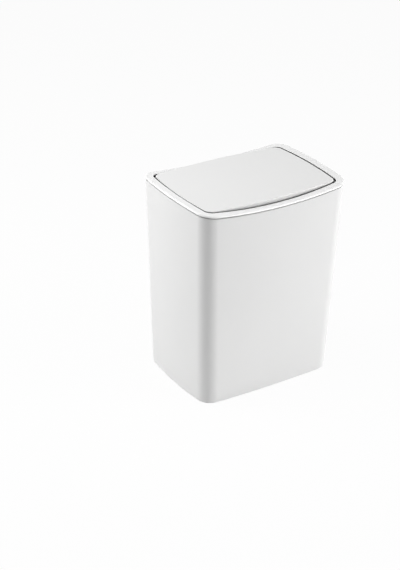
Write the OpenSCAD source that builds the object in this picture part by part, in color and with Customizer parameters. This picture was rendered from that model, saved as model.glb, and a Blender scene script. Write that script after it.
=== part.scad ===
// Countertop bin with a balanced push flap.
// A tapered bucket carries a lift-off frame, and the flap swings in the frame on two pins.
// The long sides of the rim dip in the middle, so the level flap stands proud there.
// Origin: centre of the base on the counter. X runs along the long side, Z is up.

/* [Bin] */
// Overall width, across the rim
bin_w = 175; // [150:1:220]
// Overall depth, across the rim
bin_d = 125; // [105:1:170]
// Overall height, at the highest points of the rim
bin_h = 213; // [150:1:300]
// Width of the base
base_w = 161; // [135:1:200]
// Depth of the base
base_d = 116; // [100:1:150]
// Radius of the upright corners
corner_r = 16.5; // [12:0.5:22]
// How far the short sides bow out
bow_short = 2.4; // [0.8:0.1:2.6]
// How far the long sides bow out
bow_long = 1.5; // [0.8:0.1:3.5]
// How far the rim dips in the middle of the long sides
rim_dip = 5.9; // [3:0.1:7]

/* [Bucket] */
// Thickness of the bucket wall
wall = 2.2; // [1.6:0.1:2.6]
// Thickness of the bucket floor
floor_t = 2.4; // [1.6:0.1:4]
// Radius of the outer edge round the base
base_edge_r = 2; // [1:0.25:3]
// Radius of the inside edge round the floor
floor_edge_r = 5; // [2:0.5:8]
// Depth of the shadow groove that runs round the upper edge
groove_d = 1; // [0.4:0.1:1.1]
// Height of that groove, below the gap under the frame
groove_h = 0.9; // [0.3:0.1:1.5]
// Width of the ring that the bin stands on
foot_w = 5; // [3:0.5:10]
// How far the underside is recessed within that ring
foot_h = 1.2; // [0.6:0.1:3]

/* [Lid frame] */
// Height of the frame's outer band
frame_band = 2.4; // [2:0.1:4]
// How far the frame overhangs the bucket all round
frame_overhang = 0.4; // [0.2:0.1:1]
// Radius of the frame's outer top edge
frame_edge_r = 1; // [0.4:0.1:1.6]
// Width of the frame's top in the middle of the short sides
ledge_short = 8.2; // [7.8:0.1:12]
// Width of the frame's top in the middle of the long sides
ledge_long = 6.1; // [6:0.1:10]
// Corner radius of the frame's mouth
mouth_r = 8; // [6:0.5:14]
// How far the short sides of the mouth bow out
mouth_bow_short = 2.8; // [1:0.1:3.5]
// How far the long sides of the mouth bow out
mouth_bow_long = 3.6; // [1.5:0.1:5]
// Bevel on the upper edge of the mouth
mouth_edge = 0.3; // [0.2:0.1:0.8]
// Height of the mouth's thin lip, below its bevel
mouth_lip = 0.3; // [0.2:0.1:0.8]
// How far the apron stands back behind that lip
apron_set = 1.1; // [0.6:0.1:1.2]
// Thickness of the apron round the mouth
apron_t = 1.4; // [1.2:0.1:1.5]
// How far the apron reaches below the flap
apron_below = 1.5; // [0.5:0.1:4]
// Thickness of the ribs that centre the frame in the bucket
rib_t = 1.5; // [1:0.1:2.5]
// Bevel that leads those ribs into the bucket
rib_lead = 1; // [0.5:0.1:1.5]

/* [Flap] */
// Gap between the flap and the mouth
flap_gap = 1.5; // [1:0.1:1.8]
// How far the flap's top lies below the highest points of the rim
flap_sink = 1.3; // [0.3:0.1:1.6]
// How much larger the flap's corner radius is than the mouth's
corner_ease = 1; // [0:0.1:3]
// How far the flap's side wall leans in, down to its lower edge
flap_lean = 1.4; // [0.6:0.1:2]
// Thickness of the cover's top
cover_t = 2; // [1.5:0.1:2.6]
// Depth of the cover, from its top to its lower edge
cover_depth = 6; // [5.4:0.1:6.2]
// Thickness of the cover's side wall
skirt_t = 1.4; // [1:0.1:2]
// Radius of the cover's top edge
cover_edge_r = 0.8; // [0.3:0.1:1.2]
// Thickness of the tray's floor
tray_t = 1.6; // [1.2:0.1:2.4]
// Thickness of the lip that the tray fits inside the cover
lip_t = 1; // [0.8:0.1:1.6]
// Height of that lip
lip_h = 1.8; // [1:0.1:2.2]
// Radius of the tray's lower edge
tray_edge_r = 1.2; // [0.5:0.1:1.6]

/* [Pivot] */
// Depth of the swing axis below the flap's top
axis_drop = 9; // [8.6:0.1:9.6]
// Diameter of the pivot pins
pin_d = 4; // [3:0.1:4.4]
// Wall of the tray's bosses round the pins
pin_wall = 2; // [1.6:0.1:2.4]
// Length of those bosses
pin_boss_l = 9; // [6:0.5:14]
// Diameter of the pins' heads
pin_head_d = 6.4; // [5.4:0.1:7]
// Thickness of the pins' heads
pin_head_t = 1.5; // [1:0.1:2.5]
// Bevel at the pins' outer ends
pin_bevel = 0.4; // [0.2:0.1:0.8]
// How far the pins end inside the outer ends of the bushes
pin_inset = 2.6; // [2.4:0.1:3]
// Wall of the bushes
bush_wall = 1; // [0.8:0.1:1.4]
// Diameter of the bushes' collars
bush_collar_d = 8.4; // [7.6:0.1:9.4]
// Thickness of the bushes' collars
bush_collar_t = 0.8; // [0.6:0.05:0.9]
// How deep the collars are let into the frame
collar_sink = 0.4; // [0.3:0.05:0.8]
// Wall of the frame's housings round the bushes
housing_wall = 2; // [1.5:0.1:2.5]
// Angle at which the tray meets its stop pegs
stop_angle = 72; // [60:0.5:74]
// Diameter of the stop pegs
peg_d = 4; // [3:0.1:5]
// How far the stop pegs reach inside the mouth
peg_l = 7; // [5:0.5:10]
// Width of the arms that carry the stop pegs
peg_arm_w = 9; // [7:0.5:14]

/* [Counterweight] */
// Distance of the trough's screws from the heads of the pins
trough_inset = 9.1; // [7:0.1:20]
// Width of the steel bar
weight_w = 12; // [8:0.5:18]
// Thickness of the steel bar
weight_h = 6; // [4:0.5:8]
// Corner radius of the steel bar
weight_r = 1; // [0.5:0.1:2]
// Wall of the trough that holds the bar
trough_t = 1.5; // [1.2:0.1:2.5]
// Length of the trough's screw tabs
tab_l = 9; // [8:0.5:14]
// Corner radius of the trough and its tabs
trough_r = 3; // [1.5:0.1:4]

/* [Screws] */
// Diameter of the screws' shanks
screw_d = 2.5; // [2:0.1:3]
// Length of the screws below their heads
screw_l = 7; // [5:0.5:8]
// Diameter of the screws' heads
head_d = 5; // [4.2:0.1:6]
// Height of the screws' heads
head_h = 1.5; // [1:0.1:2]
// Width of the slots across the screws' heads
slot_w = 0.8; // [0.5:0.1:1.2]
// Wall of the bosses round the screws
screw_wall = 1.8; // [1.2:0.1:2.4]
// Thickness of the trough's screw bosses past the tips of the screws
boss_cap = 1; // [0.6:0.1:1.4]
// Distance of the flap's screws from its short sides
screw_inset_x = 17; // [14:0.5:24]
// Distance of the flap's screws from its long sides
screw_inset_y = 14; // [10:0.5:20]

/* [Clearances] */
// Radial clearance of the pins in the bushes
run_clearance = 0.05; // [0.02:0.01:0.09]
// Radial clearance of pressed and screwed parts
press_clearance = 0.01; // [0:0.01:0.03]
// Gap where one moulded piece locates inside another
fit_gap = 0.3; // [0.2:0.05:0.5]
// Gap between the frame and the bucket's upper edge
seam_gap = 0.3; // [0.2:0.05:0.5]
// Gap at the joint line between the cover and the tray
joint_gap = 0.1; // [0.05:0.05:0.3]

/* [Hidden] */
$fn = 48;

// Steps along half a short side, round a corner and along half a long side
short_steps = 4;
corner_steps = 12;
long_steps = 8;
// Angles at which a rounded edge has a loop of points
edge_angles = [0:30:90];
quarter_steps = short_steps + corner_steps + long_steps;
// Stations along a quarter outline that carry a centring rib
rib_stations = [
  short_steps / 2, short_steps + corner_steps / 2, quarter_steps - long_steps / 2
];
// How deep joined solids reach into each other, so that they fuse
weld = 0.6;
// How far a cutter reaches past the face that it opens
over = 1;

// Levels
flap_top = bin_h - flap_sink;
cover_z = flap_top - cover_depth;
axis_z = flap_top - axis_drop;
boss_r = pin_d / 2 + pin_wall;
tray_z = axis_z - pin_head_d / 2 - fit_gap - tray_t;
tray_top = cover_z - joint_gap;
apron_z = tray_z - apron_below;
tray_side = axis_z - tray_z;
stop_drop = (tray_side + peg_d / 2) / cos(stop_angle);

// Half sizes of the mouth and of the flap
mouth_x = bin_w / 2 - ledge_short;
mouth_y = bin_d / 2 - ledge_long;
flap_x = mouth_x - flap_gap;
flap_y = mouth_y - flap_gap;
flap_r = mouth_r + corner_ease;
tray_wall = skirt_t + joint_gap + lip_t;

// Bushes and pins
bush_r = pin_d / 2 + run_clearance;
bush_or = bush_r + bush_wall;
housing_r = bush_or + housing_wall;
pin_in = flap_x - flap_lean - tray_wall - pin_boss_l;

// Screws
screw_x = flap_x - screw_inset_x;
screw_y = flap_y - screw_inset_y;
screw_boss_r = screw_d / 2 + screw_wall;
flap_screw_spots = [
  for (x = [-screw_x, 0, screw_x], y = [-screw_y, screw_y]) [x, y]
];

// Trough under the flap, and the bar that fills it
tab_x = pin_in - pin_head_t - trough_inset;
trough_l = 2 * tab_x - tab_l;
weight_l = trough_l - 2 * (fit_gap + trough_t);
trough_w = weight_w + 2 * (fit_gap + trough_t);
trough_h = weight_h + fit_gap + trough_t;

// Height of the rim at a distance x from the middle: a shallow curve that rises to both ends
function rim_z(x) = bin_h - rim_dip * (1 - pow(x / (bin_w / 2 - frame_edge_r), 2));

// Radius of an arc with this half chord and this rise
function arc_radius(half_chord, rise) = (half_chord * half_chord + rise * rise) / (2 * rise);

// A quarter of a rounded rectangle with bowed sides, as [x, y, normal x, normal y].
// The corner arc is tangent to both side arcs, so the outline turns without a kink.
function quarter(hx, hy, r, bow_x, bow_y) =
  let (
    rs = arc_radius(hy - r, bow_x),
    rl = arc_radius(hx - r, bow_y),
    cs = [hx - rs, 0],
    cl = [0, hy - rl],
    gap = cl - cs,
    span = norm(gap),
    along = (pow(rs - r, 2) - pow(rl - r, 2) + span * span) / (2 * span),
    across = sqrt(pow(rs - r, 2) - along * along),
    u = gap / span,
    cc = cs + along * u + across * [-u[1], u[0]],
    turn_s = atan2(cc[1] - cs[1], cc[0] - cs[0]),
    turn_l = atan2(cc[1] - cl[1], cc[0] - cl[0])
  )
  concat(
    [for (i = [0:short_steps - 1]) on_arc(cs, rs, turn_s * i / short_steps)],
    [for (i = [0:corner_steps - 1]) on_arc(cc, r, turn_s + (turn_l - turn_s) * i / corner_steps)],
    [for (i = [0:long_steps]) on_arc(cl, rl, turn_l + (90 - turn_l) * i / long_steps)]
  );

function on_arc(centre, r, angle) =
  [centre[0] + r * cos(angle), centre[1] + r * sin(angle), cos(angle), sin(angle)];

// The whole outline, anticlockwise from the middle of the right short side
function outline(hx, hy, r, bow_x, bow_y) =
  let (q = quarter(hx, hy, r, bow_x, bow_y), n = len(q) - 1)
  concat(
    [for (i = [0:n - 1]) q[i]],
    [for (i = [n:-1:1]) [-q[i][0], q[i][1], -q[i][2], q[i][3]]],
    [for (i = [0:n - 1]) -q[i]],
    [for (i = [n:-1:1]) [q[i][0], -q[i][1], q[i][2], -q[i][3]]]
  );

frame_outline = outline(bin_w / 2, bin_d / 2, corner_r, bow_short, bow_long);
mouth_outline = outline(mouth_x, mouth_y, mouth_r, mouth_bow_short, mouth_bow_long);
flap_outline = outline(flap_x, flap_y, flap_r, mouth_bow_short, mouth_bow_long);
base_outline = outline(base_w / 2, base_d / 2, corner_r, bow_short, bow_long);
top_outline = outline(
  bin_w / 2 - frame_overhang, bin_d / 2 - frame_overhang, corner_r - frame_overhang,
  bow_short, bow_long
);

// An outline moved inwards by d, at the level z
function level_loop(line, d, z) = [for (p = line) [p[0] - d * p[2], p[1] - d * p[3], z]];

// An outline moved inwards by d, at a depth below the curved rim
function rim_loop(line, d, drop) =
  [for (p = line) let (x = p[0] - d * p[2]) [x, p[1] - d * p[3], rim_z(x) - drop]];

// A point of the tapered bucket, d inside its outer face
function wall_point(i, d, z) =
  let (t = z / bin_h, p = base_outline[i] * (1 - t) + top_outline[i] * t)
  [p[0] - d * p[2], p[1] - d * p[3], z];

function wall_loop(d, z) = [for (i = [0:len(base_outline) - 1]) wall_point(i, d, z)];

function wall_rim_loop(d, drop) = [
  for (i = [0:len(base_outline) - 1])
    let (x = top_outline[i][0] - d * top_outline[i][2]) wall_point(i, d, rim_z(x) - drop)
];

// Skin over loops of equally many points, capped at both ends or closed into a ring
module skin(loops, ring = false) {
  n = len(loops[0]);
  m = len(loops);
  bands = ring ? m : m - 1;
  sides = [
    for (j = [0:bands - 1], i = [0:n - 1])
      let (a = j * n + i, b = j * n + (i + 1) % n, up = ((j + 1) % m) * n - j * n)
      each [[a, a + up, b + up], [a, b + up, b]]
  ];
  caps = ring ? [] : [[for (i = [0:n - 1]) i], [for (i = [n - 1:-1:0]) (m - 1) * n + i]];
  polyhedron([for (loop = loops) each loop], concat(sides, caps), convexity = 8);
}

// Flat plate with rounded corners, its lower face at z = 0
module rounded_plate(l, w, h, r) {
  linear_extrude(h) {
    square([l - 2 * r, w], center = true);
    square([l, w - 2 * r], center = true);
    for (x = [-1, 1], y = [-1, 1])
      translate([x * (l / 2 - r), y * (w / 2 - r)]) circle(r);
  }
}

// Cylinder along X that starts at x
module x_cylinder(x, l, r) {
  translate([x, 0, axis_z]) rotate([0, 90, 0]) cylinder(h = l, r = r);
}

// Pan head screw, its head below z = 0
module screw() {
  cylinder(h = screw_l, r = screw_d / 2);
  difference() {
    translate([0, 0, -head_h]) cylinder(h = head_h, r = head_d / 2);
    translate([-head_d, -slot_w / 2, -head_h - weld]) cube([2 * head_d, slot_w, head_h / 2 + weld]);
  }
}

// Outer end of the bush housings, just inside the bucket's wall
housing_end = wall_point(0, wall + fit_gap, axis_z - housing_r)[0];

// Bucket: a thin tapered shell on a foot ring, with a rim that follows the curve of the lid
module bucket() {
  foot_in = base_edge_r + foot_w;
  inside_z = foot_h + floor_t;
  rim_drop = frame_band + seam_gap;
  color("white") skin([
    wall_loop(foot_in + foot_h, foot_h),
    wall_loop(foot_in, 0),
    for (a = edge_angles) wall_loop(base_edge_r * (1 - sin(a)), base_edge_r * (1 - cos(a))),
    wall_rim_loop(0, rim_drop + groove_h),
    wall_rim_loop(groove_d, rim_drop + groove_h),
    wall_rim_loop(groove_d, rim_drop),
    wall_rim_loop(wall, rim_drop),
    for (a = edge_angles)
      wall_loop(wall + floor_edge_r * (1 - cos(a)), inside_z + floor_edge_r * (1 - sin(a)))
  ]);
}

// Rib that centres the frame in the bucket, at one station of the outline.
// It may meet the wall at a slant, so its end stays back by the reach of its nearer corner.
module centring_rib(i) {
  foot = mouth_outline[i];
  reach = wall_point(i, wall + fit_gap, apron_z);
  start = [foot[0], foot[1]] + (apron_set + apron_t - weld) * [foot[2], foot[3]];
  way = [reach[0], reach[1]] - start;
  wall_way = [base_outline[i][2], base_outline[i][3]];
  slant = abs(way[0] * wall_way[1] - way[1] * wall_way[0]) / (way * wall_way);
  end = norm(way) - slant * rib_t / 2;
  top = rim_z(start[0]) - frame_band + weld;
  low = apron_z + rib_lead;
  translate([start[0], start[1], 0])
    rotate([90, 0, atan2(way[1], way[0])])
      translate([0, 0, -rib_t / 2])
        linear_extrude(rib_t)
          polygon([
            [0, low], [end - rib_lead, low], [end, low + 2 * rib_lead], [end, top], [0, top]
          ]);
}

// Housing of one bush and the arm with the stop peg below it
module pivot_side() {
  apron_x = mouth_x + apron_set;
  block_x = apron_x + apron_t - weld;
  peg_z = axis_z - stop_drop;
  x_cylinder(mouth_x, housing_end - mouth_x, housing_r);
  translate([block_x, -housing_r, axis_z])
    cube([housing_end - block_x, 2 * housing_r, rim_z(housing_end) - frame_band + weld - axis_z]);
  translate([apron_x, -peg_arm_w / 2, peg_z])
    cube([apron_t, peg_arm_w, apron_z + weld - peg_z]);
  translate([0, 0, -stop_drop]) {
    x_cylinder(apron_x, apron_t, peg_arm_w / 2);
    x_cylinder(mouth_x - peg_l, peg_l + apron_set + apron_t / 2, peg_d / 2);
  }
}

// Lid frame: a curved ring with a thin lip round its mouth, an apron set back behind the lip,
// centring ribs and the two pivot housings
module lid_frame() {
  all_steps = 4 * quarter_steps;
  lip_drop = mouth_edge + mouth_lip;
  apron_out = apron_set + apron_t;
  stations = [
    for (s = rib_stations) each [s, 2 * quarter_steps - s, 2 * quarter_steps + s, all_steps - s],
    quarter_steps,
    3 * quarter_steps
  ];
  color("white") difference() {
    union() {
      skin([
        rim_loop(frame_outline, 0, frame_band),
        for (a = edge_angles)
          rim_loop(frame_outline, frame_edge_r * (1 - cos(a)), frame_edge_r * (1 - sin(a))),
        rim_loop(mouth_outline, -mouth_edge, 0),
        rim_loop(mouth_outline, 0, mouth_edge),
        rim_loop(mouth_outline, 0, lip_drop),
        rim_loop(mouth_outline, -apron_set, lip_drop + apron_set),
        level_loop(mouth_outline, -apron_set, apron_z),
        level_loop(mouth_outline, -apron_out, apron_z),
        rim_loop(mouth_outline, -apron_out, frame_band)
      ], ring = true);
      for (i = stations) centring_rib(i);
      for (side = [0, 1]) mirror([side, 0, 0]) pivot_side();
    }
    for (side = [0, 1]) mirror([side, 0, 0]) {
      x_cylinder(mouth_x - over, ledge_short + over, bush_or + press_clearance);
      x_cylinder(mouth_x - over, collar_sink + over, bush_collar_d / 2 + joint_gap);
    }
  }
}

// Flap cover: the flat visible top with a side wall that leans in, and its screw bosses
module flap_cover() {
  under = flap_top - cover_t;
  lean_under = flap_lean * (cover_t - cover_edge_r) / (cover_depth - cover_edge_r);
  boss_z = tray_z + tray_t + joint_gap;
  keeper_x = pin_in - pin_head_t - fit_gap;
  color("white") difference() {
    union() {
      skin([
        level_loop(flap_outline, lean_under + skirt_t, under),
        level_loop(flap_outline, flap_lean + skirt_t, cover_z),
        level_loop(flap_outline, flap_lean, cover_z),
        for (a = edge_angles)
          level_loop(
            flap_outline, cover_edge_r * (1 - cos(a)), flap_top - cover_edge_r * (1 - sin(a))
          )
      ]);
      for (p = flap_screw_spots)
        translate([p[0], p[1], boss_z]) cylinder(h = under + weld - boss_z, r = screw_boss_r);
      for (side = [0, 1]) mirror([side, 0, 0])
        translate([keeper_x - pin_wall, -boss_r, axis_z])
          cube([pin_wall, 2 * boss_r, under + weld - axis_z]);
    }
    for (p = flap_screw_spots)
      translate([p[0], p[1], boss_z - over])
        cylinder(h = screw_l - tray_t + over, r = screw_d / 2 + press_clearance);
  }
}

// Flap tray: the moulded underside, with the bosses of the pins and of the trough's screws
module flap_tray() {
  flush = flap_lean + joint_gap;
  lip = flap_lean + skirt_t + joint_gap;
  inside = flap_lean + tray_wall;
  floor_z = tray_z + tray_t;
  tip_z = tray_z - trough_t + screw_l;
  color("whitesmoke") difference() {
    union() {
      skin([
        for (a = edge_angles)
          level_loop(
            flap_outline, flush + tray_edge_r * (1 - sin(a)), tray_z + tray_edge_r * (1 - cos(a))
          ),
        level_loop(flap_outline, flush, tray_top),
        level_loop(flap_outline, lip, tray_top),
        level_loop(flap_outline, lip, tray_top + lip_h),
        level_loop(flap_outline, inside, tray_top + lip_h),
        level_loop(flap_outline, inside, floor_z)
      ]);
      for (side = [0, 1]) mirror([side, 0, 0]) {
        x_cylinder(pin_in, pin_boss_l + weld, boss_r);
        translate([pin_in, -boss_r, floor_z - weld])
          cube([pin_boss_l + weld, 2 * boss_r, axis_z - floor_z + weld]);
        translate([tab_x, 0, floor_z - weld])
          cylinder(h = tip_z + boss_cap - floor_z + weld, r = screw_boss_r);
      }
    }
    for (side = [0, 1]) mirror([side, 0, 0]) {
      x_cylinder(pin_in - over, flap_x - pin_in + 2 * over, pin_d / 2 + press_clearance);
      translate([tab_x, 0, tray_z - over])
        cylinder(h = tip_z + joint_gap - tray_z + over, r = screw_d / 2 + press_clearance);
    }
    for (p = flap_screw_spots)
      translate([p[0], p[1], tray_z - over])
        cylinder(h = tray_t + 2 * over, r = screw_d / 2 + fit_gap);
  }
}

// Counterweight: a flat steel bar that keeps the flap level
module counterweight() {
  color("silver") translate([0, 0, tray_z - fit_gap - weight_h])
    rounded_plate(weight_l, weight_w, weight_h, weight_r);
}

// Trough that holds the bar below the tray, with a screw tab at each end
module weight_trough() {
  color("whitesmoke") difference() {
    union() {
      translate([0, 0, tray_z - trough_h]) rounded_plate(trough_l, trough_w, trough_h, trough_r);
      translate([0, 0, tray_z - trough_t])
        rounded_plate(trough_l + 2 * tab_l, trough_w - 2 * trough_t, trough_t, trough_r);
    }
    translate([0, 0, tray_z - trough_h + trough_t])
      rounded_plate(trough_l - 2 * trough_t, trough_w - 2 * trough_t, trough_h, trough_r - trough_t);
    for (side = [-1, 1])
      translate([side * tab_x, 0, tray_z - trough_t - over])
        cylinder(h = trough_t + 2 * over, r = screw_d / 2 + fit_gap);
  }
}

// Pivot pin: a headed pin, put in from inside the tray and kept there by the cover
module pivot_pin(side) {
  end_x = housing_end - pin_inset;
  color("silver") mirror([side, 0, 0]) {
    x_cylinder(pin_in - pin_head_t, pin_head_t, pin_head_d / 2);
    x_cylinder(pin_in, end_x - pin_bevel - pin_in, pin_d / 2);
    translate([end_x - pin_bevel, 0, axis_z]) rotate([0, 90, 0])
      cylinder(h = pin_bevel, r1 = pin_d / 2, r2 = pin_d / 2 - pin_bevel);
  }
}

// Pivot bush: a collared sleeve, pressed into the frame from inside the mouth
module pivot_bush(side) {
  seat_x = mouth_x + collar_sink;
  collar_x = seat_x - bush_collar_t;
  color("ivory") mirror([side, 0, 0]) difference() {
    union() {
      x_cylinder(collar_x, bush_collar_t, bush_collar_d / 2);
      x_cylinder(seat_x - collar_sink / 2, housing_end - seat_x + collar_sink / 2, bush_or);
    }
    x_cylinder(collar_x - over, housing_end - collar_x + 2 * over, bush_r);
  }
}

// Six screws that hold the tray to the cover
module flap_screws() {
  color("silver") for (p = flap_screw_spots)
    translate([p[0], p[1], tray_z]) screw();
}

// Two screws that hold the trough to the tray
module trough_screws() {
  color("silver") for (side = [-1, 1])
    translate([side * tab_x, 0, tray_z - trough_t]) screw();
}

bucket();
lid_frame();
flap_cover();
flap_tray();
counterweight();
weight_trough();
pivot_pin(1);  // pivot_pin_left
pivot_pin(0);  // pivot_pin_right
pivot_bush(1);  // pivot_bush_left
pivot_bush(0);  // pivot_bush_right
flap_screws();
trough_screws();
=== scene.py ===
import math

import bmesh
import bpy
from mathutils import Matrix, Vector


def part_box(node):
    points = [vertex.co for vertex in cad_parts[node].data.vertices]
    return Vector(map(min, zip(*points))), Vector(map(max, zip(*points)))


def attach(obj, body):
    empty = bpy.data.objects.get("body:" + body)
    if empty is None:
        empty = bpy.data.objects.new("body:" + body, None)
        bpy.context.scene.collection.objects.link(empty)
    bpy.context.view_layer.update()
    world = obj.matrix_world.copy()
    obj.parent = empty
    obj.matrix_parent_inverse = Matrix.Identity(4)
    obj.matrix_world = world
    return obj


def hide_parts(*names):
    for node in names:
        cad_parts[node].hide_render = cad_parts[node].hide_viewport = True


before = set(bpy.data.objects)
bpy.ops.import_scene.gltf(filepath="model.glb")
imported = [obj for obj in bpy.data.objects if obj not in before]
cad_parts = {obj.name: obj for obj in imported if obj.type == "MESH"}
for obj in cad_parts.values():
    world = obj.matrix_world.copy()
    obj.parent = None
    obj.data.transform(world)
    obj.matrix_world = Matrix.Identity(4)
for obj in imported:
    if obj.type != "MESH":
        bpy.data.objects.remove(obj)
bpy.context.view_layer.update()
bpy.context.scene.view_settings.view_transform = "Standard"

# Bucket
# A thin tapered tub, injection moulded in white polypropylene with a fine satin texture.
# It stands on a ring round its recessed base. Its upper edge follows the curve of the lid, over a
# narrow shadow groove, whose shade is painted into the colour as a darker band.
BUCKET_WHITE = (0.84, 0.84, 0.836, 1.0)
BUCKET_SHADE = (0.81, 0.81, 0.807, 1.0)
BUCKET_EDGE = 0.00025
RIM_TOP = 0.213
RIM_DIP = 0.0059
RIM_HALF = 0.0865
# Painted shade: a darker band in the bucket's colour along the groove under the frame.
GROOVE_PAINTED_SHADE = {
    "upper": 0.0015, "lower": 0.0034, "fade": 0.0003, "left": 0.33, "corner_left": 0.33,
}
# Where the painted shade bands turn to their deeper share at the corners of the gap.
SHADE_CORNER_FROM = 0.08
SHADE_CORNER_TO = 0.086
BUCKET_LEVELS = (0.03, 0.07, 0.11, 0.15, 0.19)
EDGE_REACH = 0.02
CLOUD_SCALE = 16.0
DRAW_SCALE = (260.0, 260.0, 7.0)
GRAIN_SCALE = 1500.0
ROUGH_SPREAD = 0.03
CLOUD_SPREAD = 0.02
WELD = 0.000002
STEEP = 0.5


class Signal:
    """A socket of one material. Arithmetic on signals adds the Math nodes that do it."""

    def __init__(self, tree, socket=None):
        self.tree = tree
        self.socket = socket

    def node(self, kind, settings, sockets, output=0):
        made = self.tree.nodes.new(kind)
        for name, value in settings.items():
            setattr(made, name, value)
        for name, value in sockets.items():
            if isinstance(value, Signal):
                self.tree.links.new(value.socket, made.inputs[name])
            else:
                made.inputs[name].default_value = value
        return Signal(self.tree, made.outputs[output] if made.outputs else None)

    def math(self, operation, first, second):
        return self.node("ShaderNodeMath", {"operation": operation}, {0: first, 1: second})

    def __add__(self, other):
        return self.math("ADD", self, other)

    def __radd__(self, other):
        return self.math("ADD", other, self)

    def __sub__(self, other):
        return self.math("SUBTRACT", self, other)

    def __rsub__(self, other):
        return self.math("SUBTRACT", other, self)

    def __mul__(self, other):
        return self.math("MULTIPLY", self, other)

    def __rmul__(self, other):
        return self.math("MULTIPLY", other, self)

    def stretched(self, scale):
        return self.node("ShaderNodeMapping", {}, {"Vector": self, "Scale": scale})

    def noise(self, scale, detail=2.0):
        return self.node("ShaderNodeTexNoise", {}, {"Vector": self, "Scale": scale, "Detail": detail})

    def between(self, low, high):
        return self.node("ShaderNodeMapRange", {}, {"Value": self, "To Min": low, "To Max": high})

    def steps(self, low, high):
        """A soft threshold: 0 below low, 1 above high."""
        return self.node(
            "ShaderNodeMapRange", {"interpolation_type": "SMOOTHSTEP"},
            {"Value": self, "From Min": low, "From Max": high},
        )

    def axis(self, index):
        return self.node("ShaderNodeSeparateXYZ", {}, {"Vector": self}, index)

    def tint(self, first, second):
        return self.node(
            "ShaderNodeMix", {"data_type": "RGBA"}, {"Factor": self, 6: first, 7: second}, 2
        )

    def bump(self, strength, depth):
        return self.node(
            "ShaderNodeBump", {}, {"Strength": strength, "Distance": depth, "Height": self}
        )


def new_finish(name):
    """An empty node material and the signal that its nodes start from."""
    finish = bpy.data.materials.new(name)
    finish.use_nodes = True
    finish.node_tree.nodes.clear()
    start = Signal(finish.node_tree)
    return finish, start, start.node("ShaderNodeTexCoord", {}, {}, "Object")


def close_finish(start, fixed, varying):
    """Ends a finish with its shader: fixed sockets hold numbers, varying ones take signals."""
    shader = start.node("ShaderNodeBsdfPrincipled", {}, {**fixed, **varying})
    start.node("ShaderNodeOutputMaterial", {}, {"Surface": shader})


def below_rim(place):
    """How far a point lies below the curved top of the rim, in metres."""
    along = place.axis(0)
    return along * along * (RIM_DIP / RIM_HALF**2) + (RIM_TOP - RIM_DIP) - place.axis(2)


def moulded(name, light, shade, rough, grain_depth, coat=0.0, shine=0.5, dark=None):
    """White moulded plastic: a spark-eroded grain, faint draw marks up the wall and slow clouding.
    Dark names a band of painted shade below the rim, and the share of the colour that is left in it;
    corner_left is the share at the gap's corners, where the painted shade is deeper."""
    finish, start, place = new_finish(name)
    cloud = place.noise(CLOUD_SCALE, 3.0)
    draw = place.stretched(DRAW_SCALE).noise(1.0)
    grain = place.noise(GRAIN_SCALE, 3.0)
    colour = cloud.tint(light, shade)
    # Painted shade: the colour darkens in a band below the rim, and more at the corners.
    if dark:
        drop = below_rim(place)
        top = drop.steps(dark["upper"] - dark["fade"], dark["upper"])
        band = top * (1.0 - drop.steps(dark["lower"], dark["lower"] + dark["fade"]))
        flat = place.axis(0) * place.axis(0) + place.axis(1) * place.axis(1)
        corner = flat.steps(SHADE_CORNER_FROM**2, SHADE_CORNER_TO**2)
        painted_shade_colour = corner.tint(*[
            tuple(dark[share] * level for level in shade[:3]) + (1.0,)
            for share in ("left", "corner_left")
        ])
        colour = band.tint(colour, painted_shade_colour)
    close_finish(
        start,
        {
            "IOR": 1.49, "Specular IOR Level": shine,
            "Coat Weight": coat, "Coat Roughness": 0.08,
        },
        {
            "Base Color": colour,
            "Roughness": draw.between(rough - ROUGH_SPREAD, rough + ROUGH_SPREAD)
            + cloud.between(-CLOUD_SPREAD, CLOUD_SPREAD),
            "Normal": (grain * 0.8 + draw * 0.2).bump(0.35, grain_depth),
        },
    )
    return finish


def merged_copy(node, name):
    """A new piece that starts as a CAD node's mesh, its loose triangles merged into faces."""
    bpy.ops.object.select_all(action="DESELECT")
    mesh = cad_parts[node].data.copy()
    piece = bpy.data.objects.new(name, mesh)
    bpy.context.scene.collection.objects.link(piece)
    piece.select_set(True)
    bpy.context.view_layer.objects.active = piece
    bpy.ops.object.mode_set(mode="EDIT")
    bpy.ops.mesh.select_all(action="SELECT")
    bpy.ops.mesh.remove_doubles(threshold=WELD)
    bpy.ops.mesh.dissolve_limited(angle_limit=math.radians(0.04))
    bpy.ops.mesh.tris_convert_to_quads(face_threshold=math.radians(3.0))
    bpy.ops.mesh.select_all(action="DESELECT")
    return piece


def round_edges(offset, segments, test=None, sharp=50.0):
    """Rounds the hard edges of the piece in hand, or those that pass the test."""
    bpy.ops.mesh.select_all(action="DESELECT")
    bpy.ops.mesh.select_mode(type="EDGE")
    shell = bmesh.from_edit_mesh(bpy.context.edit_object.data)
    for edge in shell.edges:
        if len(edge.link_faces) == 2 and edge.calc_face_angle() > math.radians(sharp):
            edge.select_set(test is None or bool(test(edge)))
    bmesh.update_edit_mesh(bpy.context.edit_object.data)
    bpy.ops.mesh.bevel(offset=offset, segments=segments, affect="EDGES", clamp_overlap=True)


def finish_piece(piece, finish, body, slot, *nodes, smooth=40.0):
    """Closes a piece: smooth shading that keeps flat faces flat, its finish, body and nodes."""
    bpy.ops.object.mode_set(mode="OBJECT")
    bpy.ops.object.shade_smooth_by_angle(angle=math.radians(smooth))
    bpy.ops.object.modifier_add(type="WEIGHTED_NORMAL")
    piece.modifiers[-1].keep_sharp = True
    bpy.ops.object.modifier_apply(modifier=piece.modifiers[-1].name)
    piece.data.materials.clear()
    piece.data.materials.append(finish)
    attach(piece, body)
    if nodes:
        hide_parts(*nodes)
    bpy.ops.object.select_all(action="DESELECT")


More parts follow.
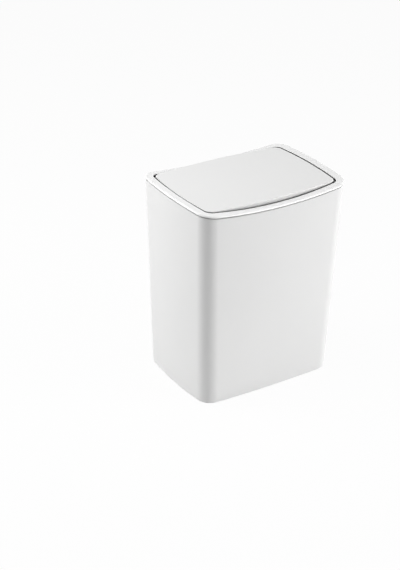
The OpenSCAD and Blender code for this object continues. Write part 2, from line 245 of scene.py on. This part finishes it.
def refinish(piece, finish, test):
    """Gives a second finish to the steep faces of a piece whose middle passes the test."""
    piece.data.materials.append(finish)
    for face in piece.data.polygons:
        if face.normal.z < STEEP and test(face.center):
            face.material_index = 1


bucket = merged_copy("bucket", "bucket_shell")
bucket_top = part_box("bucket")[1][2]
round_edges(BUCKET_EDGE, 3, lambda edge: edge.verts[0].co.z > bucket_top - EDGE_REACH)
for level in BUCKET_LEVELS:
    bpy.ops.mesh.select_all(action="SELECT")
    bpy.ops.mesh.bisect(plane_co=(0.0, 0.0, level), plane_no=(0.0, 0.0, 1.0))
# The bucket's satin finish also carries the groove's painted shade band.
bucket_satin = moulded(
    "bucket_satin", BUCKET_WHITE, BUCKET_SHADE,
    rough=0.42, grain_depth=0.00003, shine=0.2, dark=GROOVE_PAINTED_SHADE,
)
finish_piece(bucket, bucket_satin, "bucket", "bucket_plastic", "bucket")

# Gate mark
# The round scar in the middle of the bucket's underside, where the plastic ran into the mould:
# a low raised pad with the twisted-off stub of the sprue. It is part of the bucket's moulding.
PAD_RADIUS = 0.0045
STUB_RADIUS = 0.0011
PAD_DROP = 0.0003
STUB_DROP = 0.0007
UNDERSIDE = 0.0012
PAD_ROUND = 0.6 * PAD_DROP
STUB_ROUND = 0.2 * STUB_DROP
STUB_TIP = 0.7 * STUB_RADIUS
bpy.ops.mesh.primitive_cylinder_add(
    vertices=48, radius=PAD_RADIUS, depth=2 * PAD_DROP, location=(0.0, 0.0, UNDERSIDE)
)
gate_mark = bpy.context.object
gate_mark.name = "gate_mark"
bpy.ops.object.transform_apply(location=True, rotation=True, scale=True)
bpy.ops.object.mode_set(mode="EDIT")
round_edges(PAD_ROUND, 3)
bpy.ops.mesh.primitive_cone_add(
    vertices=24, radius1=STUB_TIP, radius2=STUB_RADIUS, depth=2 * STUB_DROP,
    location=(0.0, 0.0, UNDERSIDE),
)
round_edges(STUB_ROUND, 2, lambda edge: edge.verts[0].co.z < UNDERSIDE - 1.5 * PAD_DROP)
finish_piece(gate_mark, bucket_satin, "bucket", "bucket_plastic")

# Lid frame
# A glossy ring with a curved top, moulded with the apron, ribs and pivot housings below it.
# It drops into the bucket by hand, centred by its ribs, and lifts off to empty the bin. Its outer
# edge is rounder than the CAD's.
FRAME_WHITE = (0.87, 0.87, 0.866, 1.0)
FRAME_SHADE = (0.85, 0.85, 0.847, 1.0)
MOUTH_HALF = 0.081
MOUTH_DEPTH = 0.0573
MOUTH_SPREAD = 0.13
CAD_EDGE = 0.001
SOFT_EDGE = 0.002
SLACK = 0.00001


def rim_drop(spot):
    """How far a point lies below the curved top of the rim."""
    return RIM_TOP - RIM_DIP * (1.0 - (spot.x / RIM_HALF) ** 2) - spot.z


def at_mouth(spot):
    """Whether a point of the frame lies at its mouth, and not on its outer band."""
    inside = abs(spot.x) < MOUTH_HALF and abs(spot.y) < MOUTH_DEPTH
    return inside and abs(spot.x) + abs(spot.y) < MOUTH_SPREAD


# Painted shade: the walls of the mouth take a darker band below the rim, darkest at the gap's
# corners, where the gap round the flap holds shade.
MOUTH_PAINTED_SHADE = {
    "upper": 0.0006, "lower": 0.0035, "fade": 0.0003, "left": 0.3, "corner_left": 0.1,
}
frame_ring = merged_copy("lid_frame", "lid_frame_ring")
ring = bmesh.from_edit_mesh(frame_ring.data)
edge_shell = [
    vert for vert in ring.verts
    if -SLACK < rim_drop(vert.co) < CAD_EDGE + SLACK and not at_mouth(vert.co)
]
feet = [vert.co.copy() for vert in edge_shell if rim_drop(vert.co) > CAD_EDGE - 2 * SLACK]
for vert in edge_shell:
    foot = min(feet, key=lambda spot: (spot.xy - vert.co.xy).length)
    corner = Vector((foot.x, foot.y, foot.z + CAD_EDGE))
    vert.co = corner + (vert.co - corner) * SOFT_EDGE / CAD_EDGE
bmesh.update_edit_mesh(frame_ring.data)
frame_gloss = moulded(
    "frame_gloss", FRAME_WHITE, FRAME_SHADE, rough=0.2, grain_depth=0.00001, coat=0.35
)
mouth_dull_painted_shade = moulded(
    "mouth_dull_painted_shade", FRAME_WHITE, FRAME_SHADE, rough=0.5, grain_depth=0.00003, dark=MOUTH_PAINTED_SHADE
)
finish_piece(frame_ring, frame_gloss, "lid", "frame_plastic", "lid_frame", smooth=50.0)
# The mouth's steep walls get the rougher finish with its painted shade band.
refinish(frame_ring, mouth_dull_painted_shade, at_mouth)

# Flap cover
# The level top of the flap: a shallow white moulding with a soft edge, side walls that lean in
# and screw bosses inside.
COVER_WHITE = (0.85, 0.85, 0.846, 1.0)
COVER_SHADE = (0.83, 0.83, 0.827, 1.0)
# Painted shade: the cover's side walls take a darker band just below the rim's line, where the gap
# round the flap holds shade, darkest at its corners.
SKIRT_PAINTED_SHADE = {
    "upper": 0.0007, "lower": 0.0022, "fade": 0.0005, "left": 0.4, "corner_left": 0.06,
}
SKIRT_RISE = 0.0005
cover = merged_copy("flap_cover", "flap_cover_top")
flap_satin = moulded(
    "flap_satin", COVER_WHITE, COVER_SHADE, rough=0.62, grain_depth=0.00002, shine=0.02
)
finish_piece(cover, flap_satin, "flap", "flap_plastic", "flap_cover")
skirt_dull_painted_shade = moulded(
    "skirt_dull_painted_shade", COVER_WHITE, COVER_SHADE, rough=0.5, grain_depth=0.00003, dark=SKIRT_PAINTED_SHADE
)
skirt_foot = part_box("flap_cover")[0][2] + SKIRT_RISE
# The side walls get the rougher finish with this painted shade band.
refinish(cover, skirt_dull_painted_shade, lambda place: place.z > skirt_foot)

# Flap tray
# The moulded underside of the flap, with the bosses for the pins and screws. Its plastic is
# plainer than the cover's, and it is screwed to the cover from below.
INNER_WHITE = (0.8, 0.8, 0.79, 1.0)
INNER_SHADE = (0.77, 0.77, 0.76, 1.0)
TRAY_EDGE = 0.0002
tray = merged_copy("flap_tray", "flap_tray_base")
round_edges(TRAY_EDGE, 2)
inner_white = moulded(
    "inner_white", INNER_WHITE, INNER_SHADE, rough=0.5, grain_depth=0.00004
)
finish_piece(tray, inner_white, "flap", "inner_plastic", "flap_tray")

# Counterweight
# A length of zinc plated steel bar, sawn to length and tumbled. It lies loose in its trough and
# brings the flap back to level.
BAR_EDGE = 0.0004
ZINC_LIGHT = (0.6, 0.61, 0.62, 1.0)
ZINC_DARK = (0.42, 0.43, 0.45, 1.0)
LINE_SCALE = (40.0, 1400.0, 1400.0)
MOTTLE_SCALE = 180.0
LINE_SPREAD = 0.06


def plated(name, light, dark, rough, scratch):
    """Zinc or bright steel: drawn lines along X, slow mottling and a few duller patches."""
    finish, start, place = new_finish(name)
    lines = place.stretched(LINE_SCALE).noise(1.0, 3.0)
    mottle = place.noise(MOTTLE_SCALE, 4.0)
    dull = mottle.steps(0.52, 0.7)
    close_finish(
        start,
        {"Metallic": 1.0},
        {
            "Base Color": (mottle * 0.6 + lines * 0.4).tint(dark, light),
            "Roughness": lines.between(rough - LINE_SPREAD, rough + LINE_SPREAD) + dull * 0.1,
            "Normal": lines.bump(0.3, scratch),
        },
    )
    return finish


bar = merged_copy("counterweight", "counterweight_bar")
round_edges(BAR_EDGE, 3)
bar_steel = plated("bar_steel", ZINC_LIGHT, ZINC_DARK, rough=0.38, scratch=0.00002)
finish_piece(bar, bar_steel, "flap", "bar_steel", "counterweight")

# Weight trough
# A plain moulded trough with a screw tab at each end, in the tray's plastic. It holds the bar
# against the tray, and two screws hold it.
TROUGH_EDGE = 0.0003
trough = merged_copy("weight_trough", "weight_trough_shell")
round_edges(TROUGH_EDGE, 2)
finish_piece(trough, inner_white, "flap", "inner_plastic", "weight_trough")

# Pivot pins
# Two headed pins of drawn stainless steel. They are pushed outwards through the tray's bosses
# into the bushes, and the flap turns on them.
PIN_EDGE = 0.00025
PIN_LIGHT = (0.68, 0.68, 0.69, 1.0)
PIN_DARK = (0.56, 0.56, 0.57, 1.0)
pin_steel = plated("pin_steel", PIN_LIGHT, PIN_DARK, rough=0.24, scratch=0.000008)
for side in ("left", "right"):
    pin = merged_copy("pivot_pin_" + side, "pivot_pin_" + side + "_steel")
    round_edges(PIN_EDGE, 3)
    finish_piece(pin, pin_steel, "flap", "pin_steel", "pivot_pin_" + side)

# Pivot bushes
# Two collared sleeves of natural acetal, which the pins run in. They are pressed into the frame's
# housings from inside its mouth.
BUSH_EDGE = 0.00012
ACETAL_LIGHT = (0.84, 0.81, 0.73, 1.0)
ACETAL_DARK = (0.78, 0.75, 0.66, 1.0)
acetal = moulded("acetal", ACETAL_LIGHT, ACETAL_DARK, rough=0.36, grain_depth=0.00001)
for side in ("left", "right"):
    bush = merged_copy("pivot_bush_" + side, "pivot_bush_" + side + "_sleeve")
    round_edges(BUSH_EDGE, 2)
    finish_piece(bush, acetal, "lid", "bush_plastic", "pivot_bush_" + side)

# Screws
# Slotted pan head screws of zinc plated steel, driven from below. Six hold the tray to the
# cover, and two hold the trough to the tray.
SCREW_DOME = 0.0007
HEAD_FACE = 0.00005
HEAD_STEP = 0.001
SCREW_LIGHT = (0.66, 0.67, 0.69, 1.0)
SCREW_DARK = (0.5, 0.51, 0.54, 1.0)
screw_steel = plated("screw_steel", SCREW_LIGHT, SCREW_DARK, rough=0.3, scratch=0.00001)
for node in ("flap_screws", "trough_screws"):
    screws = merged_copy(node, node + "_zinc")
    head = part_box(node)[0][2] + HEAD_FACE
    round_edges(
        SCREW_DOME, 4,
        lambda edge: max(end.co.z for end in edge.verts) < head and edge.calc_length() < HEAD_STEP,
    )
    finish_piece(screws, screw_steel, "flap", "screw_steel", node)

# Floor
# A pale tabletop that is white to the camera, yet still takes the bin's soft shadow. From below
# it is clear, so that the underside can be seen.
FLOOR_GLOW = 0.95
FLOOR_SIZE = 7.0
PAPER_WHITE = (0.82, 0.82, 0.82, 1.0)
bpy.ops.mesh.primitive_plane_add(size=FLOOR_SIZE, location=(0.0, 0.0, 0.0))
floor = bpy.context.object
floor.name = "floor"
floor_paper, start, place = new_finish("floor_paper")


def seen_directly(start):
    """1 on the rays that show a backdrop: to the camera, in a reflection or through glass."""
    rays = "ShaderNodeLightPath"
    seen = start.node(rays, {}, {}, "Is Camera Ray")
    seen = seen + start.node(rays, {}, {}, "Is Glossy Ray")
    return seen + start.node(rays, {}, {}, "Is Transmission Ray")


paper = start.node("ShaderNodeBsdfDiffuse", {}, {"Color": PAPER_WHITE})
glow = start.node("ShaderNodeEmission", {}, {"Color": (1.0, 1.0, 1.0, 1.0), "Strength": 1.0})
shown = seen_directly(start)
surface = start.node("ShaderNodeMixShader", {}, {0: shown * FLOOR_GLOW, 1: paper, 2: glow})
clear = start.node("ShaderNodeBsdfTransparent", {}, {})
below = start.node("ShaderNodeNewGeometry", {}, {}, "Backfacing")
surface = start.node("ShaderNodeMixShader", {}, {0: below, 1: surface, 2: clear})
start.node("ShaderNodeOutputMaterial", {}, {"Surface": surface})
floor.data.materials.append(floor_paper)

# Studio light
# A plain even world and four soft boxes: behind at the left, high at the left, low at the right
# in front, and straight above.
WORLD_LEVEL = 0.12
LAMP_AIM = (0.0, 0.0, 0.11)
SOFT_BOXES = (
    ("left_box", (-1.09, 0.98, 0.42), 0.9, 10.0),
    ("near_box", (-0.56, 0.15, 0.8), 0.6, 3.3),
    ("right_box", (1.04, -1.04, 0.42), 0.9, 18.0),
    ("top_box", (0.0, 0.0, 1.61), 0.9, 7.7),
)
world = bpy.data.worlds.new("studio")
world.use_nodes = True
world.node_tree.nodes.clear()
air = Signal(world.node_tree)
level = seen_directly(air) * (1.0 - WORLD_LEVEL) + WORLD_LEVEL
sky = air.node("ShaderNodeBackground", {}, {"Color": (1.0, 1.0, 1.0, 1.0), "Strength": level})
air.node("ShaderNodeOutputWorld", {}, {"Surface": sky})
bpy.context.scene.world = world
for name, spot, width, power in SOFT_BOXES:
    aim = Vector(LAMP_AIM) - Vector(spot)
    bpy.ops.object.light_add(
        type="AREA", location=spot, rotation=aim.to_track_quat("-Z", "Y").to_euler()
    )
    box = bpy.context.object
    box.name = name
    box.data.shape = "SQUARE"
    box.data.size = width
    box.data.energy = power

# Camera
# The photograph's view: from the left front corner and above, at about 1.4 m. The camera steps
# aside to place the bin in the frame, so it needs no shift.
AZIMUTH = math.radians(-32.58)
ELEVATION = math.radians(28.06)
ROLL = math.radians(1.05)
DISTANCE = 1.4027
SIDE_STEP = 0.04233
RISE_STEP = 0.01314
LENS = 86.573
SENSOR = 36.0
AIM_HEIGHT = 0.1065
aim = Vector((0.0, 0.0, AIM_HEIGHT))
back = Vector(
    (
        math.sin(AZIMUTH) * math.cos(ELEVATION),
        -math.cos(AZIMUTH) * math.cos(ELEVATION),
        math.sin(ELEVATION),
    )
)
level_right = Vector((math.cos(AZIMUTH), math.sin(AZIMUTH), 0.0))
level_up = back.cross(level_right)
right = level_right * math.cos(ROLL) + level_up * math.sin(ROLL)
up = level_up * math.cos(ROLL) - level_right * math.sin(ROLL)
spot = aim + back * DISTANCE - right * SIDE_STEP - up * RISE_STEP
turn = Matrix((right, up, back)).transposed()
bpy.ops.object.camera_add(location=spot, rotation=turn.to_euler())
camera = bpy.context.object
camera.name = "camera"
camera.data.sensor_width = SENSOR
camera.data.lens = LENS
bpy.context.scene.camera = camera
